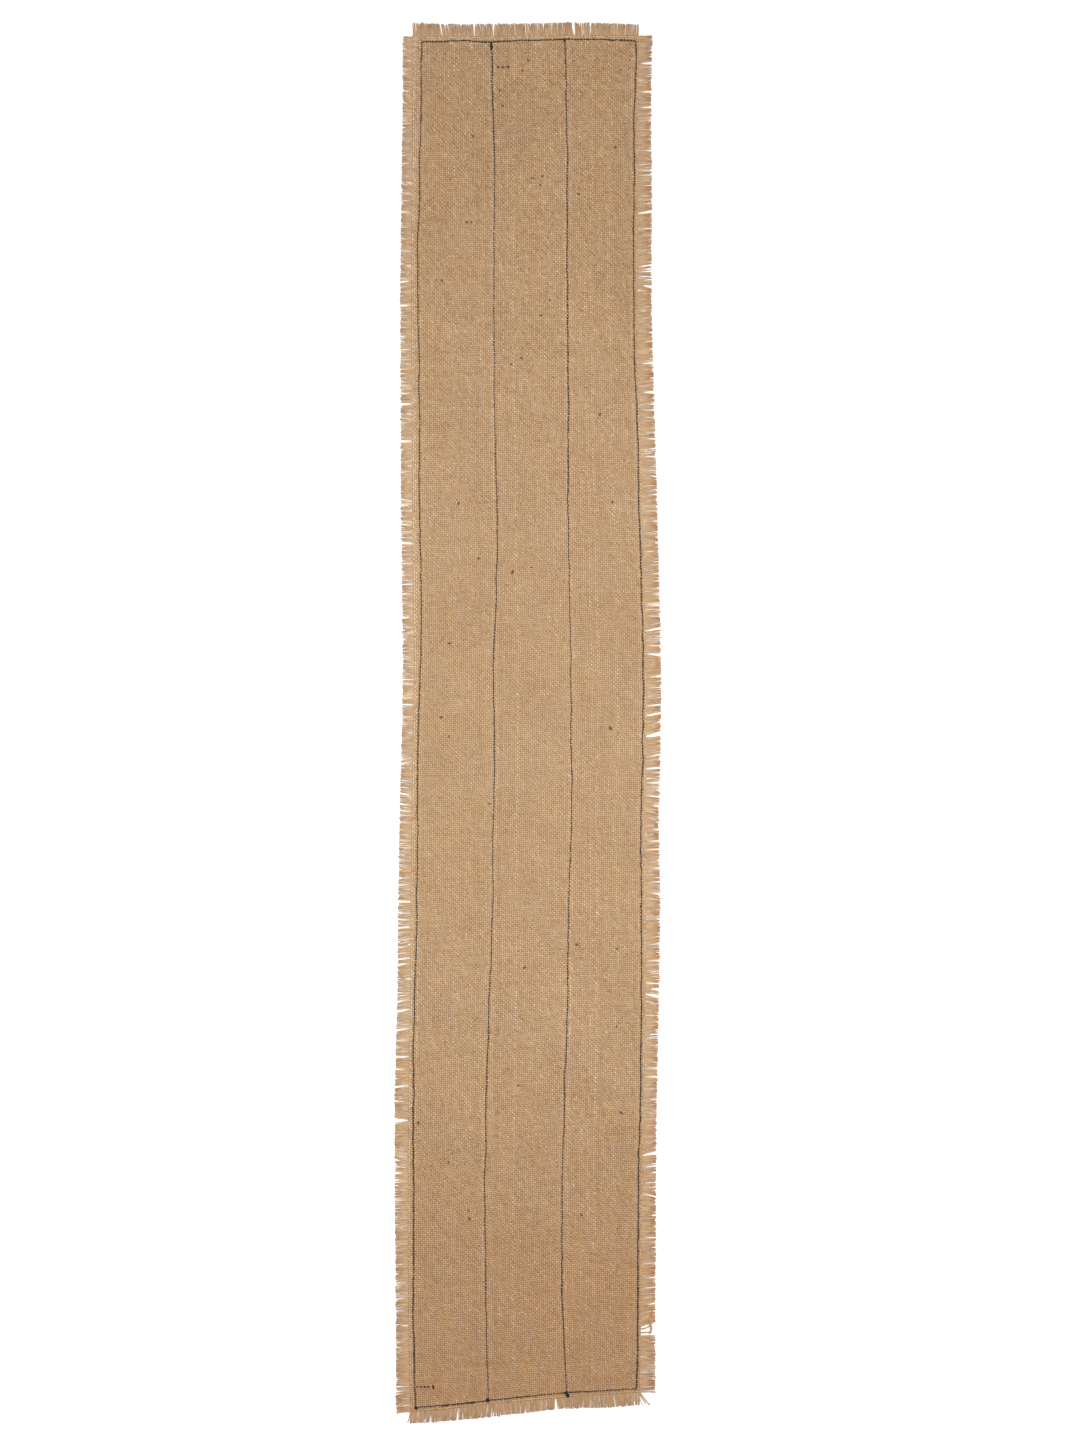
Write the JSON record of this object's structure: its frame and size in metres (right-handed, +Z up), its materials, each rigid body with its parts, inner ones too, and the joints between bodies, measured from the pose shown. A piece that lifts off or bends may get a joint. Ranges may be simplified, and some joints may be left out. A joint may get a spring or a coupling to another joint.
{
  "type": "table runner",
  "caption": "Long flat strip of plain-woven jute hessian with frayed edges on all sides, a dark perimeter seam, and dark lengthwise seams dividing it into panels.",
  "frame": {"origin": "centre of the rectangle that the runner lies in, at the level of the surface it lies on", "axes": "+X across the runner, +Y along its length towards the head end, +Z up off the table"},
  "size_m": [0.3468, 1.829, 0.0033],
  "materials": {
    "jute_cloth": "matte coarse plain weave, natural tan, undyed",
    "jute_fringe": "matte loose jute yarns, natural tan, a little more orange at the cut tips",
    "dark_thread": "matte very dark brown sewing thread"
  },
  "bodies": {
    "root": {"backtack_foot_inner_left": "dark_thread", "backtack_foot_inner_right": "dark_thread", "backtack_foot_left_corner": "dark_thread", "backtack_head_inner_left": "dark_thread", "backtack_head_inner_right": "dark_thread", "curled_yarn_right": "jute_fringe", "foot_tack_row_bobbin_thread": "dark_thread", "foot_tack_row_needle_thread": "dark_thread", "fringe_foot": "jute_fringe", "fringe_head": "jute_fringe", "fringe_left": "jute_fringe", "fringe_right": "jute_fringe", "ground_cloth": "jute_cloth", "head_tack_row_bobbin_thread": "dark_thread", "head_tack_row_needle_thread": "dark_thread", "inner_left_seam_bobbin_thread": "dark_thread", "inner_left_seam_needle_thread": "dark_thread", "inner_right_seam_bobbin_thread": "dark_thread", "inner_right_seam_needle_thread": "dark_thread", "loose_yarn_foot_left": "jute_fringe", "loose_yarn_foot_right_long": "jute_fringe", "loose_yarn_foot_right_middle": "jute_fringe", "loose_yarn_foot_right_short": "jute_fringe", "perimeter_seam_bobbin_thread": "dark_thread", "perimeter_seam_needle_thread": "dark_thread"}
  },
  "joints": []
}
